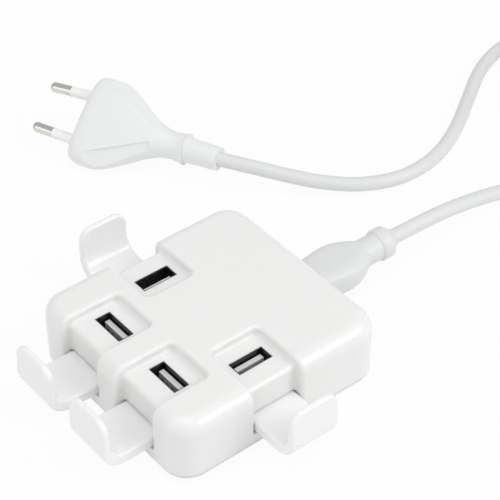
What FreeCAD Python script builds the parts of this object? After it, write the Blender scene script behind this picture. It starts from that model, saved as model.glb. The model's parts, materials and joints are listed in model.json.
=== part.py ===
"""USB charging box with four pull-out phone holders, mains lead and flat two-pin plug.

Lengths are millimetres. The frame stands on the middle of the grip pad under the base: +Z is up,
-X is the side with two phone holders, +X is the side with the mains inlet. The holders are drawn
pulled out.
"""
import FreeCAD, Part
import math
import os
import re
import Sketcher

Vector = FreeCAD.Vector
doc = FreeCAD.newDocument("charging_box")
sheet = doc.addObject("Spreadsheet::Sheet", "sizes")

SIZES = [
    # Housing
    ("body_length", 82.0),
    ("body_width", 78.4),
    ("body_height", 25.5),
    ("corner_radius", 9.0),
    ("top_round", 5.3),
    ("base_round", 3.4),
    ("wall", 2.0),
    ("seam_rise", 0.6),
    ("base_lift", 0.6),
    # Port shelves, each lowered into the top and open to one side
    ("notch_web", 2.8),
    ("side_port_share", 0.38),
    ("end_port_spread", 29.2),
    ("port_inset", 14.3),
    ("notch_width", 19.2),
    ("notch_reach", 8.6),
    ("notch_corner", 2.4),
    ("shelf_drop", 3.2),
    ("shelf_fillet", 1.4),
    ("shelf_edge_round", 1.6),
    ("rim_round", 1.3),
    ("set_back", 3.8),
    ("sill_wall", 1.0),
    # Phone holders
    ("slide_gap", 0.3),
    ("plate_bottom", 7.4),
    ("plate_thickness", 4.2),
    ("holder_out", 17.9),
    ("holder_engaged", 14.0),
    ("holder_travel", 11.5),
    ("lip_rise", 1.8),
    ("lip_top_thickness", 2.3),
    ("lip_root_thickness", 3.2),
    ("lip_lean", 0.9),
    ("lip_fillet", 6.0),
    ("lip_corner", 4.8),
    ("lip_toe", 8.0),
    ("holder_edge", 0.9),
    ("ear_reach", 1.6),
    ("ear_length", 3.0),
    ("rail_width", 2.0),
    ("rail_spread", 14.0),
    # USB sockets
    ("window_fit", 0.1),
    ("shell_length", 13.2),
    ("shell_width", 5.7),
    ("shell_wall", 0.3),
    ("shell_recess", 0.15),
    ("tongue_length", 11.1),
    ("tongue_thickness", 1.84),
    ("tongue_shift", 1.08),
    ("tongue_tip_drop", 1.95),
    ("socket_floor", 1.4),
    ("contact_width", 1.2),
    ("contact_thickness", 0.2),
    ("contact_pitch", 2.4),
    ("finger_width", 2.0),
    ("finger_bump", 0.45),
    ("finger_spread", 6.6),
    ("finger_slit", 0.4),
    ("finger_start_share", 0.3),
    ("finger_share", 0.55),
    ("contact_drop", 1.8),
    # Boards
    ("board_gap", 0.4),
    ("board_thickness", 1.2),
    ("usb_board_margin", 0.8),
    ("usb_board_gap", 2.0),
    ("usb_board_tab", 5.0),
    ("usb_board_side", 9.2),
    ("tab_half_width", 9.0),
    ("power_board_length", 23.6),
    ("power_board_margin", 1.5),
    ("power_board_side", 2.7),
    ("standoff_height", 1.8),
    ("standoff_radius", 2.4),
    ("standoff_inset", 4.0),
    ("standoff_side", 15.2),
    # Base, posts and screws
    ("floor_thickness", 2.0),
    ("register_height", 1.4),
    ("register_thickness", 1.2),
    ("register_gap", 0.15),
    ("post_inset", 6.8),
    ("post_radius", 3.0),
    ("post_gap", 0.3),
    ("boss_radius", 2.2),
    ("boss_front", 19.0),
    ("boss_back", 9.9),
    ("boss_side", 9.0),
    ("screw_radius", 1.2),
    ("screw_hole_gap", 0.05),
    ("screw_head_radius", 2.2),
    ("screw_head_height", 1.2),
    ("head_gap", 0.2),
    ("screw_length", 9.0),
    ("board_screw_length", 6.0),
    ("pad_size", 46.0),
    ("pad_thickness", 1.0),
    ("pad_corner", 6.0),
    ("pad_fit", 0.2),
    # Mains inlet
    ("inlet_height", 11.8),
    ("inlet_width", 17.4),
    ("inlet_tall", 11.0),
    ("inlet_depth", 14.0),
    ("inlet_well_depth", 11.0),
    ("inlet_fit", 0.1),
    ("nose_radius", 3.7),
    ("nose_spread", 6.4),
    ("nose_gap", 0.2),
    ("nose_waist", 3.0),
    ("nose_length", 9.6),
    ("inlet_pin_radius", 1.18),
    ("inlet_pin_spread", 8.6),
    ("inlet_pin_length", 9.0),
    ("pin_bore_gap", 0.12),
    # Parts on the boards
    ("transformer_x", 9.2),
    ("transformer_side", 18.2),
    ("core_length", 13.0),
    ("core_width", 16.0),
    ("core_height", 12.0),
    ("core_limb", 3.2),
    ("winding_gap", 0.2),
    ("winding_over", 2.6),
    ("can_round", 0.8),
    ("bulk_x", 7.0),
    ("bulk_side", 23.7),
    ("bulk_radius", 5.0),
    ("bulk_height", 15.0),
    ("output_x", 4.6),
    ("output_side", 10.6),
    ("output_radius", 3.15),
    ("output_height", 11.0),
    ("output_pitch", 7.4),
    ("film_x", 21.2),
    ("film_side", 20.2),
    ("film_length", 12.0),
    ("film_width", 4.6),
    ("film_height", 9.5),
    ("bridge_x", 20.0),
    ("bridge_side_gap", 24.7),
    ("bridge_side", 6.4),
    ("bridge_height", 2.6),
    ("fuse_x", 12.3),
    ("fuse_side", 16.7),
    ("fuse_radius", 2.5),
    ("fuse_length", 11.0),
    ("link_inset", 2.4),
    ("link_pitch", 2.54),
    ("link_pin_side", 0.64),
    ("link_width", 2.5),
    ("link_fit", 0.08),
    ("chip_inset", 11.0),
    ("chip_y", 6.5),
    ("chip_length", 5.0),
    ("chip_width", 4.0),
    ("chip_height", 1.5),
    # Moulded connector on the lead
    ("grip_length", 20.0),
    ("grip_width", 17.5),
    ("grip_tall", 10.5),
    ("shoulder_length", 5.5),
    ("neck_radius", 5.0),
    ("neck_length", 5.9),
    ("bead_radius", 5.75),
    ("bead_length", 6.0),
    ("bead_round", 1.6),
    ("tail_length", 2.0),
    ("tail_radius", 3.3),
    # Cord and its coil
    ("cord_radius", 2.7),
    ("coil_x", 209.2),
    ("coil_y", 9.4),
    ("coil_inner_turn", 27.0),
    ("coil_outer_turn", 37.8),
    ("coil_round", 2.4),
    ("tie_width", 9.0),
    ("tie_thickness", 0.9),
    ("tie_gap", 0.35),
    ("tie_sag", 0.5),
    # Flat two-pin plug
    ("plug_x", 37.2),
    ("plug_y", 123.0),
    ("plug_z", 12.25),
    ("plug_yaw", 115.1),
    ("plug_pitch", 0.0),
    ("plug_roll", -32.0),
    ("plug_width", 35.3),
    ("plug_thickness", 13.7),
    ("plug_length", 42.9),
    ("plug_neck_radius", 5.3),
    ("plug_collar_radius", 6.0),
    ("bevel_start", 10.6),
    ("bevel_end", 29.8),
    ("bevel_wide", 12.0),
    ("bevel_narrow", 2.8),
    ("bevel_depth", 1.3),
    ("bevel_tilt", 35.0),
    ("relief_length", 13.4),
    ("relief_radius", 4.9),
    ("relief_tip_radius", 4.4),
    ("pin_spread", 18.6),
    ("pin_toe_in", 1.6),
    ("pin_length", 19.0),
    ("pin_radius", 2.0),
    ("pin_sleeve_length", 10.0),
    ("pin_waist", 0.3),
    ("pin_face_gap", 0.2),
    ("pin_root", 4.0),
]

for row, (alias, number) in enumerate(SIZES, start=1):
    sheet.set("A%d" % row, alias)
    sheet.set("B%d" % row, str(number))
    sheet.setAlias("B%d" % row, alias)
doc.recompute()


def size(alias):
    """The number in the sheet's cell with this alias."""
    return float(sheet.get(alias))


def bind(item, prop, text):
    """Drive one property from the sheet; text is written with the aliases alone."""
    item.setExpression(prop, re.sub(r"\b[a-z][a-z_0-9]*\b", r"sizes.\g<0>", text))


def box(name, x, y, z):
    """A block between two expressions along each axis."""
    block = doc.addObject("Part::Box", name)
    for side, axis, span in (("Length", "x", x), ("Width", "y", y), ("Height", "z", z)):
        bind(block, side, "(%s) - (%s)" % (span[1], span[0]))
        bind(block, "Placement.Base." + axis, span[0])
    return block


TURNS = {
    "x": FreeCAD.Rotation(Vector(0, 1, 0), 90),
    "y": FreeCAD.Rotation(Vector(1, 0, 0), -90),
    "z": FreeCAD.Rotation(),
}


def rod(name, radius, start, height, axis="z"):
    """A cylinder from its start point along one axis."""
    bar = doc.addObject("Part::Cylinder", name)
    bar.Placement = FreeCAD.Placement(Vector(), TURNS[axis])
    bind(bar, "Radius", radius)
    bind(bar, "Height", height)
    for letter, text in zip("xyz", start):
        bind(bar, "Placement.Base." + letter, text)
    return bar


def fuse(name, pieces):
    joined = doc.addObject("Part::MultiFuse", name)
    joined.Shapes = pieces
    joined.Refine = True
    return joined


def cut(name, base, tools):
    """The base less all the tools."""
    tool = tools[0] if len(tools) == 1 else fuse(name + "_tools", tools)
    left = doc.addObject("Part::Cut", name)
    left.Base = base
    left.Tool = tool
    return left


def round_edges(name, base, radius, test):
    """Fillet the edges of a piece that pass the test."""
    doc.recompute()
    rounded = doc.addObject("Part::Fillet", name)
    rounded.Base = base
    numbered = enumerate(base.Shape.Edges, start=1)
    rounded.Edges = [(number, radius, radius) for number, edge in numbered if test(edge)]
    doc.recompute()
    return rounded


def ends(edge):
    return [vertex.Point for vertex in edge.Vertexes]


def middle(edge):
    return edge.valueAt(sum(edge.ParameterRange) / 2)


def touches(item, point):
    """True where a point lies on the skin of a piece."""
    vertex = Part.Vertex(point)
    return min(shell.distToShape(vertex)[0] for shell in item.Shape.Shells) < 1e-4


def upright(edge):
    """True for a straight edge parallel to Z."""
    points = ends(edge)
    return len(points) == 2 and (points[0] - points[1]).cross(Vector(0, 0, 1)).Length < 1e-6


def level(height):
    """A test for edges that lie wholly at one height."""
    return lambda edge: all(abs(point.z - height) < 1e-6 for point in ends(edge))


power_back = "body_length / 2 - wall - power_board_margin"
power_front = power_back + " - power_board_length"
front_notch_end = "-body_length / 2 + port_inset + notch_reach"
side_room = "((%s) - (%s) - notch_web - notch_width - ear_reach)" % (power_front, front_notch_end)
SIDE_PORT_X = front_notch_end + " + notch_web + notch_width / 2 + side_port_share * " + side_room
STATIONS = [
    ("left", 90, SIDE_PORT_X, "body_width / 2"),
    ("front_left", 180, "-body_length / 2", "end_port_spread / 2"),
    ("front_right", 180, "-body_length / 2", "-end_port_spread / 2"),
    ("right", -90, SIDE_PORT_X, "-body_width / 2"),
]


def settle(item, station):
    """Carry a piece drawn at a port (+X out of the wall, the wall at X 0) to that port's wall."""
    _, turn, x, y = station
    item.Placement = FreeCAD.Placement(Vector(), FreeCAD.Rotation(Vector(0, 0, 1), turn))
    bind(item, "Placement.Base.x", x)
    bind(item, "Placement.Base.y", y)
    return item


def at_ports(name, item):
    """The same piece at each of the four ports."""
    copies = []
    for station in STATIONS:
        copy = doc.addObject("Part::Compound", name + "_" + station[0])
        copy.Links = [item]
        copies.append(settle(copy, station))
    return copies


def both_ways(span):
    """A span centred on zero, from its half width."""
    return "-(%s)" % span, span


def around(centre, half):
    """A span centred on an expression, from its half width."""
    return "(%s) - (%s)" % (centre, half), "(%s) + (%s)" % (centre, half)


shelf = "body_height - shelf_drop"
shelf_under = "body_height - shelf_drop - wall"
plate_top = "plate_bottom + plate_thickness"
slot_low = "plate_bottom - slide_gap"
slot_high = plate_top + " + slide_gap"
floor_top = "base_lift + floor_thickness"
seam = floor_top + " + seam_rise"
usb_board_low = plate_top + " + board_gap"
usb_board_top = usb_board_low + " + board_thickness"
power_board_low = floor_top + " + standoff_height"
power_board_top = power_board_low + " + board_thickness"
inside = (both_ways("body_length / 2 - wall"), both_ways("body_width / 2 - wall"))
notch_sides = both_ways("notch_width / 2")
notch_wall_sides = both_ways("notch_width / 2 + wall")
POST_X = "body_length / 2 - post_inset"
POST_Y = "body_width / 2 - post_inset"
POSTS = [(x, y) for x in (POST_X, "-(%s)" % POST_X) for y in (POST_Y, "-(%s)" % POST_Y)]
usb_front = "-body_length / 2 + set_back + wall + usb_board_margin"
usb_back = power_front + " - usb_board_gap"
usb_half_width = "body_width / 2 - usb_board_side"
BOSS_BACK = usb_back + " - boss_back"
BOSSES = [("-body_length / 2 + boss_front", "0"), (BOSS_BACK, "boss_side"), (BOSS_BACK, "-boss_side")]
power_half_width = "body_width / 2 - wall - power_board_side"
link_x = "(%s) + link_inset" % power_front
inner_corner = size("corner_radius") - size("wall")
screw_bore = "screw_radius + screw_hole_gap"

# Notch cutter, drawn at a port: the lowered shelf, its rounded edge and the set-back wall below it
shelf_z = size("body_height") - size("shelf_drop")
notch_end = -size("port_inset") - size("notch_reach")
well = box("notch_well", ("-(port_inset + notch_reach)", "5"), notch_sides, (shelf, "body_height + 1"))
step = box("notch_step", ("-set_back", "5"), notch_sides, (slot_low, "body_height + 1"))


def shelf_edge(edge):
    return all(abs(p.z - shelf_z) < 1e-6 and abs(p.x + size("set_back")) < 1e-6 for p in ends(edge))


def end_corner(edge):
    return upright(edge) and abs(middle(edge).x - notch_end) < 1e-6


def lower_edge(edge):
    """Edges along the shelf and down the set-back wall, on the sides and at the inner end."""
    spot = middle(edge)
    on_side = abs(abs(spot.y) - size("notch_width") / 2) < 1e-6
    if level(shelf_z)(edge):
        return on_side or spot.x < notch_end + size("notch_corner")
    behind = -size("set_back") - size("shelf_edge_round") < spot.x < -size("set_back") + 1e-6
    return on_side and behind and size("plate_bottom") < spot.z < shelf_z


notch = fuse("notch_block", [well, step])
notch = round_edges("notch_shelf_edge", notch, size("shelf_edge_round"), shelf_edge)
notch = round_edges("notch_ends", notch, size("notch_corner"), end_corner)
notch = round_edges("notch_cutter", notch, size("shelf_fillet"), lower_edge)

# Top housing: the outer form, four notches with a rounded rim, then the hollow inside
crown = box("housing_block", both_ways("body_length / 2"), both_ways("body_width / 2"),
            ("base_lift", "body_height"))
crown = round_edges("housing_corners", crown, size("corner_radius"), upright)
crown = round_edges("housing_crown", crown, size("top_round"), level(size("body_height")))
crown = round_edges("housing_base", crown, size("base_round"), level(size("base_lift")))
below_seam = box("below_seam", both_ways("body_length"), both_ways("body_width"), ("-1", seam))
form = cut("housing_form", crown, at_ports("notch", notch) + [below_seam])


def rim_edge(edge):
    spot = middle(edge)
    return spot.z > size("plate_bottom") and touches(crown, spot) and touches(form.Tool, spot)


rimmed = round_edges("housing_rim", form, size("rim_round"), rim_edge)
hollow = box("hollow_block", *inside, (seam + " - 1", "body_height - wall"))
hollow = round_edges("hollow_corners", hollow, inner_corner, upright)
hollow = round_edges("hollow_crown", hollow, size("top_round") - size("wall"),
                     level(size("body_height") - size("wall")))
shelf_wall = box("shelf_wall", ("-(port_inset + notch_reach + wall)", "5"), notch_wall_sides,
                 (shelf_under, "body_height + 1"))
back_wall = box("back_wall", ("-(set_back + wall)", "5"), notch_wall_sides,
                (slot_low + " - sill_wall", "body_height + 1"))
notch_walls = fuse("notch_walls", [shelf_wall, back_wall])
kept = at_ports("notch_walls_at", notch_walls)
for number, (x, y) in enumerate(POSTS, start=1):
    kept.append(rod("post_%d" % number, "post_radius", (x, y, floor_top), "body_height"))
for number, (x, y) in enumerate(BOSSES, start=1):
    kept.append(rod("boss_%d" % number, "boss_radius", (x, y, usb_board_top), "body_height"))
hollow = cut("hollow", hollow, kept)
window = box("window", around("-port_inset", "shell_width / 2 + window_fit"),
             both_ways("shell_length / 2 + window_fit"), (shelf_under + " - 1", shelf + " + 1"))
slot = box("slot", ("-(set_back + wall + 1)", "-set_back + 1"), notch_sides, (slot_low, slot_high))
openings = at_ports("window_at", window) + at_ports("slot_at", slot)
openings.append(box("inlet_hole", ("body_length / 2 - wall - 1", "body_length / 2 + 1"),
                    both_ways("inlet_width / 2 + inlet_fit"),
                    around("inlet_height", "inlet_tall / 2 + inlet_fit")))
for number, (x, y) in enumerate(POSTS, start=1):
    openings.append(rod("post_hole_%d" % number, screw_bore, (x, y, "base_lift"), "screw_length + 1"))
for number, (x, y) in enumerate(BOSSES, start=1):
    start = (x, y, usb_board_top + " - 1")
    openings.append(rod("boss_hole_%d" % number, screw_bore, start, "board_screw_length + 1"))
top_housing = cut("top_housing", rimmed, [hollow] + openings)

# Base cover: a shallow tray that closes the housing, with rails under the holders
tray = box("tray_block", both_ways("body_length / 2"), both_ways("body_width / 2"),
           ("base_lift", "body_height"))
tray = round_edges("tray_corners", tray, size("corner_radius"), upright)
tray = round_edges("tray_round", tray, size("base_round"), level(size("base_lift")))
tray_well = box("tray_well_block", *inside, (floor_top, seam + " + 1"))
tray_well = round_edges("tray_well", tray_well, inner_corner, upright)
above_seam = box("above_seam", both_ways("body_length"), both_ways("body_width"), (seam, "body_height + 1"))
tray = cut("tray", tray, [tray_well, above_seam])
ring_height = (floor_top, seam + " + register_height")
ring = box("register_block", both_ways("body_length / 2 - wall - register_gap"),
           both_ways("body_width / 2 - wall - register_gap"), ring_height)
ring = round_edges("register_ring", ring, inner_corner - size("register_gap"), upright)
ring_inset = "wall - register_gap - register_thickness"
ring_well = box("register_well_block", both_ways("body_length / 2 - " + ring_inset),
                both_ways("body_width / 2 - " + ring_inset), ring_height)
ring_well = round_edges("register_well", ring_well,
                        inner_corner - size("register_gap") - size("register_thickness"), upright)
ring_cuts = [ring_well]
for number, (x, y) in enumerate(POSTS, start=1):
    ring_cuts.append(rod("register_gap_%d" % number, "post_radius + post_gap", (x, y, floor_top),
                         "body_height"))
ring = cut("register", ring, ring_cuts)
rail_reach = ("-(holder_engaged + holder_travel)", "-(set_back + wall + slide_gap)")
rails = []
for side, place in (("a", "rail_spread / 2"), ("b", "-rail_spread / 2")):
    across = (place + " - rail_width / 2", place + " + rail_width / 2")
    rails.append(box("rail_" + side, rail_reach, across, (floor_top, slot_low)))
raised = [tray, ring] + at_ports("rails_at", fuse("rails", rails))
standoff_rows = (("front", power_front + " + standoff_inset"), ("back", power_back + " - standoff_inset"))
standoff_y = "body_width / 2 - standoff_side"
for x_name, x in standoff_rows:
    for y_name, y in (("left", standoff_y), ("right", "-(%s)" % standoff_y)):
        name = "standoff_%s_%s" % (x_name, y_name)
        raised.append(rod(name, "standoff_radius", (x, y, floor_top), "standoff_height"))
base_cuts = []
for number, (x, y) in enumerate(POSTS, start=1):
    base_cuts.append(rod("base_hole_%d" % number, screw_bore, (x, y, "base_lift - 1"), "floor_thickness + 2"))
    base_cuts.append(rod("base_sink_%d" % number, "screw_head_radius + head_gap", (x, y, "base_lift - 1"),
                         "screw_head_height + 1"))
pad_seat = both_ways("pad_size / 2 + pad_fit")
seat = box("pad_seat_block", pad_seat, pad_seat, ("base_lift - 1", "pad_thickness"))
seat = round_edges("pad_seat", seat, size("pad_corner") + size("pad_fit"), upright)
base_cover = cut("base_cover", fuse("base_raised", raised), base_cuts + [seat])

# Grip pad and screws
pad = box("grip_pad_block", both_ways("pad_size / 2"), both_ways("pad_size / 2"), ("0", "pad_thickness"))
grip_pad = round_edges("grip_pad", pad, size("pad_corner"), upright)


def screw(name, x, y, head_bottom, length):
    """A pan-head screw pointing up."""
    head = rod(name + "_head", "screw_head_radius", (x, y, head_bottom), "screw_head_height")
    shank = rod(name + "_shank", "screw_radius", (x, y, head_bottom + " + screw_head_height"), length)
    return fuse(name, [head, shank])


def group(name, pieces):
    """Like pieces kept together as one node."""
    together = doc.addObject("Part::Compound", name)
    together.Links = pieces
    return together


base_screws = group("base_screws", [
    screw("base_screw_%d" % number, x, y, "base_lift", "screw_length - screw_head_height")
    for number, (x, y) in enumerate(POSTS, start=1)])
board_screws = group("board_screws", [
    screw("board_screw_%d" % number, x, y, usb_board_low + " - screw_head_height", "board_screw_length")
    for number, (x, y) in enumerate(BOSSES, start=1)])

# Phone holders: a hooked section swept across the width, with ears that stop it in the slot
HOLDER_PROFILE = [
    ("-holder_engaged", "plate_bottom"),
    ("holder_out", "plate_bottom"),
    ("holder_out - lip_lean", "body_height + lip_rise"),
    ("holder_out - lip_lean - lip_top_thickness", "body_height + lip_rise"),
    ("holder_out - lip_root_thickness", plate_top),
    ("-holder_engaged", plate_top),
]


def profile_sketch(body, name, corners):
    """A closed outline on the body's XZ plane with each corner held by two driven distances."""
    sketch = body.newObject("Sketcher::SketchObject", name)
    plane = [item for item in body.Origin.OriginFeatures if item.Role == "XZ_Plane"][0]
    sketch.AttachmentSupport = (plane, [""])
    sketch.MapMode = "FlatFace"
    count = len(corners)
    rough = [Vector(10 * math.cos(2 * math.pi * i / count), 10 * math.sin(2 * math.pi * i / count), 0)
             for i in range(count)]
    for i in range(count):
        sketch.addGeometry(Part.LineSegment(rough[i], rough[(i + 1) % count]), False)
    for i in range(count):
        sketch.addConstraint(Sketcher.Constraint("Coincident", i, 2, (i + 1) % count, 1))
    for i, (along, up) in enumerate(corners):
        across = sketch.addConstraint(Sketcher.Constraint("DistanceX", -1, 1, i, 1, rough[i].x))
        bind(sketch, "Constraints[%d]" % across, along)
        upward = sketch.addConstraint(Sketcher.Constraint("DistanceY", -1, 1, i, 1, rough[i].y))
        bind(sketch, "Constraints[%d]" % upward, up)
    return sketch


def dress(body, name, base, radius, test):
    """Round the edges of a holder that pass the test, by a radius from the sheet."""
    doc.recompute()
    names = ["Edge%d" % number for number, edge in enumerate(base.Shape.Edges, start=1) if test(edge)]
    rounded = body.newObject("PartDesign::Fillet", name)
    rounded.Base = (base, names)
    bind(rounded, "Radius", radius)
    return rounded


def crosswise(edge):
    """True for a straight edge parallel to Y."""
    points = ends(edge)
    return len(points) == 2 and (points[0] - points[1]).cross(Vector(0, 1, 0)).Length < 1e-6


plate_z = size("plate_bottom") + size("plate_thickness")
lip_root_x = size("holder_out") - size("lip_root_thickness")
lip_z = size("body_height") + size("lip_rise")


def toe_edge(edge):
    spot = middle(edge)
    return crosswise(edge) and abs(spot.x - size("holder_out")) < 1e-6


def root_edge(edge):
    spot = middle(edge)
    return crosswise(edge) and abs(spot.x - lip_root_x) < 1e-6 and abs(spot.z - plate_z) < 1e-6


def lip_corner_edge(edge):
    spot = middle(edge)
    return level(lip_z)(edge) and not crosswise(edge) and spot.x > 0


def seen_edge(edge):
    """The edges of the lip and of the plate's upper side that a hand can touch."""
    spot = middle(edge)
    on_side = abs(abs(spot.y) - size("notch_width") / 2 + size("slide_gap")) < 1e-6
    if on_side:
        return spot.z > size("plate_bottom") + 1e-6 and spot.x > -size("holder_engaged") + 1e-6
    return spot.z > lip_z - size("lip_corner")


holders = []
for station in STATIONS:
    holder = doc.addObject("PartDesign::Body", "holder_" + station[0])
    outline = profile_sketch(holder, "holder_outline_" + station[0], HOLDER_PROFILE)
    doc.recompute()
    sweep = holder.newObject("PartDesign::Pad", "holder_sweep_" + station[0])
    sweep.Profile = outline
    sweep.SideType = "Symmetric"
    bind(sweep, "Length", "notch_width - 2 * slide_gap")
    toe = dress(holder, "holder_toe_" + station[0], sweep, "lip_toe", toe_edge)
    root = dress(holder, "holder_root_" + station[0], toe, "lip_fillet", root_edge)
    tip = dress(holder, "holder_corners_" + station[0], root, "lip_corner", lip_corner_edge)
    soft = dress(holder, "holder_soft_" + station[0], tip, "holder_edge", seen_edge)
    doc.recompute()
    ears = holder.newObject("PartDesign::AdditiveBox", "holder_ears_" + station[0])
    bind(ears, "Length", "ear_length")
    bind(ears, "Width", "notch_width - 2 * slide_gap + 2 * ear_reach")
    bind(ears, "Height", "plate_thickness - holder_edge")
    bind(ears, "Placement.Base.x", "-(set_back + wall + slide_gap + ear_length)")
    bind(ears, "Placement.Base.y", "-(notch_width / 2 - slide_gap + ear_reach)")
    bind(ears, "Placement.Base.z", "plate_bottom")
    holder.Tip = ears
    holders.append(settle(holder, station))

# USB sockets: sheet-metal shell with spring fingers, plastic tongue and four contacts
shell_sides = both_ways("shell_length / 2")
shell_out = around("-port_inset", "shell_width / 2")
room_out = around("-port_inset", "shell_width / 2 - shell_wall")
room_sides = both_ways("shell_length / 2 - shell_wall")
shell_top = shelf + " - shell_recess"
tongue_tip = shell_top + " - tongue_tip_drop"
shell_height = (usb_board_top, shell_top)
shell = box("shell_block", shell_out, shell_sides, shell_height)
shell_room = box("shell_room", room_out, room_sides, (usb_board_top + " - 1", shelf + " + 1"))
finger_cuts = []
finger_bumps = []
shell_tall = "(%s - (%s))" % (shell_top, usb_board_top)
finger_low = usb_board_top + " + finger_start_share * " + shell_tall
finger_top = finger_low + " + finger_share * " + shell_tall
for wall_name, wall_out in (("outer", room_out[1]), ("inner", shell_out[0])):
    wall_span = (wall_out + " - 0.1", wall_out + " + shell_wall + 0.1")
    for side_name, place in (("a", "finger_spread / 2"), ("b", "-finger_spread / 2")):
        label = "%s_%s" % (wall_name, side_name)
        for edge_name, edge in (("low", "-finger_width / 2 - finger_slit"), ("high", "finger_width / 2")):
            slit = (place + " + (%s)" % edge, place + " + (%s) + finger_slit" % edge)
            finger_cuts.append(box("finger_slit_%s_%s" % (label, edge_name), wall_span, slit,
                                   (finger_low, finger_top)))
        end = around(place, "finger_width / 2")
        finger_cuts.append(box("finger_end_" + label, wall_span, end,
                               (finger_low, finger_low + " + finger_slit")))
        bump_start = (wall_out + " + shell_wall / 2", end[0], finger_low + " + 2 * finger_slit + finger_bump")
        finger_bumps.append(rod("finger_bump_" + label, "finger_bump", bump_start, "finger_width", "y"))
shell = cut("shell_walls", shell, [shell_room] + finger_cuts)
shell = fuse("usb_shell", [shell] + finger_bumps)
tongue_out = around("-port_inset - tongue_shift", "tongue_thickness / 2")
tongue_foot = box("tongue_foot", room_out, room_sides, (usb_board_top, usb_board_top + " + socket_floor"))
tongue_blade = box("tongue_blade", tongue_out, both_ways("tongue_length / 2"),
                   (usb_board_top + " + socket_floor", tongue_tip))
tongue = fuse("usb_tongue", [tongue_foot, tongue_blade])
contact_strips = []
for number, place in enumerate(("-1.5", "-0.5", "0.5", "1.5"), start=1):
    contact_strips.append(box("contact_%d" % number, (tongue_out[1], tongue_out[1] + " + contact_thickness"),
                              around(place + " * contact_pitch", "contact_width / 2"),
                              (usb_board_top + " + socket_floor", tongue_tip + " - contact_drop")))
contacts = group("usb_contact_set", contact_strips)
usb_shells = at_ports("usb_shell", shell)
usb_tongues = at_ports("usb_tongue", tongue)
usb_contacts = at_ports("usb_contacts", contacts)

# USB board, just above the sliding plates, carrying the four sockets
board = box("usb_board_plate", (usb_front, usb_back), both_ways(usb_half_width),
            (usb_board_low, usb_board_top))
tab_reach = (BOSS_BACK, power_front + " + usb_board_tab")
board_tab = box("usb_board_tab_plate", tab_reach, both_ways("tab_half_width"), (usb_board_low, usb_board_top))
through_board = (usb_board_low + " - 1", usb_board_top + " + 1")
board_cuts = []
for number, (x, y) in enumerate(BOSSES, start=1):
    start = (x, y, through_board[0])
    board_cuts.append(rod("board_hole_%d" % number, screw_bore, start, "board_thickness + 2"))
for number, (x, y) in enumerate(POSTS[2:], start=1):
    board_cuts.append(rod("board_corner_%d" % number, "post_radius + post_gap", (x, y, through_board[0]),
                          "board_thickness + 2"))
LINK_PINS = ["-1.5", "-0.5", "0.5", "1.5"]
link_pin = "link_pin_side / 2"
link_hole = "link_pin_side / 2 + link_fit"
for number, place in enumerate(LINK_PINS, start=1):
    board_cuts.append(box("link_hole_%d" % number, around(link_x, link_hole),
                          around(place + " * link_pitch", link_hole), through_board))
usb_board = cut("usb_board", fuse("usb_board_outline", [board, board_tab]), board_cuts)

# Power board on the base's standoffs
power_plate = box("power_plate", (power_front, power_back), both_ways(power_half_width),
                  (power_board_low, power_board_top))
power_cuts = []
corner_x = (POST_X + " - post_radius - post_gap", power_back + " + 1")
corner_y = (POST_Y + " - post_radius - post_gap", power_half_width + " + 1")
for side_name, y in (("left", corner_y), ("right", ("-(%s)" % corner_y[1], "-(%s)" % corner_y[0]))):
    power_cuts.append(box("power_corner_" + side_name, corner_x, y,
                          (power_board_low + " - 1", power_board_top + " + 1")))
power_board = cut("power_board", power_plate, power_cuts)


def on_board(name, x, y, half_x, half_y, low, high):
    """A block standing on the power board, centred at x and y."""
    return box(name, around(x, half_x), around(y, half_y),
               (power_board_top + " + " + low, power_board_top + " + " + high))


transformer_x = power_front + " + transformer_x"
transformer_y = "transformer_side - body_width / 2"
core_block = on_board("core_block", transformer_x, transformer_y, "core_length / 2", "core_width / 2",
                      "0", "core_height")
core_window = []
for side_name, centre in (("a", transformer_y + " + core_width / 4 - core_limb / 8"),
                          ("b", transformer_y + " - core_width / 4 + core_limb / 8")):
    core_window.append(on_board("core_window_" + side_name, transformer_x, centre, "core_length / 2 + 1",
                                "core_width / 4 - core_limb * 5 / 8", "core_limb", "core_height - core_limb"))
transformer_core = cut("transformer_core", core_block, core_window)
winding_half_x = "core_length / 2 + winding_over"
winding_half_y = "core_width / 2 - core_limb - winding_gap"
winding_block = on_board("winding_block", transformer_x, transformer_y, winding_half_x, winding_half_y,
                         "core_limb + winding_gap", "core_height - core_limb - winding_gap")
winding_room = on_board("winding_room", transformer_x, transformer_y, "core_length / 2 + winding_gap",
                        "core_limb * 3 / 4 + winding_gap", "core_limb - 1", "core_height - core_limb + 1")
transformer_winding = cut("transformer_winding", winding_block, [winding_room])


def circular(edge):
    return len(ends(edge)) == 1


bulk_foot = (power_front + " + bulk_x", "body_width / 2 - bulk_side", power_board_top)
bulk_can = rod("bulk_can", "bulk_radius", bulk_foot, "bulk_height")
bulk_capacitor = round_edges("bulk_capacitor", bulk_can, size("can_round"), circular)
output_cans = []
output_rows = (power_front + " + output_x", power_front + " + output_x + output_pitch")
for number, can_x in enumerate(output_rows, start=1):
    can = rod("output_can_%d" % number, "output_radius",
              (can_x, "body_width / 2 - output_side", power_board_top), "output_height")
    output_cans.append(round_edges("output_capacitor_%d" % number, can, size("can_round"), circular))
output_capacitors = group("output_capacitors", output_cans)
film = on_board("film_block", power_front + " + film_x", "film_side - body_width / 2",
                "film_width / 2", "film_length / 2", "0", "film_height")
suppression_capacitor = round_edges("suppression_capacitor", film, size("can_round"), upright)
bridge_rectifier = on_board("bridge_rectifier", power_front + " + bridge_x",
                            "body_width / 2 - bridge_side_gap", "bridge_side / 2", "bridge_side / 2",
                            "0", "bridge_height")
fuse_start = power_front + " + fuse_x"
fuse_y = "body_width / 2 - fuse_side"
fuse_tube = rod("fuse_tube", "fuse_radius", (fuse_start, fuse_y, power_board_top + " + fuse_radius"),
                "fuse_length", "x")
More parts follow.
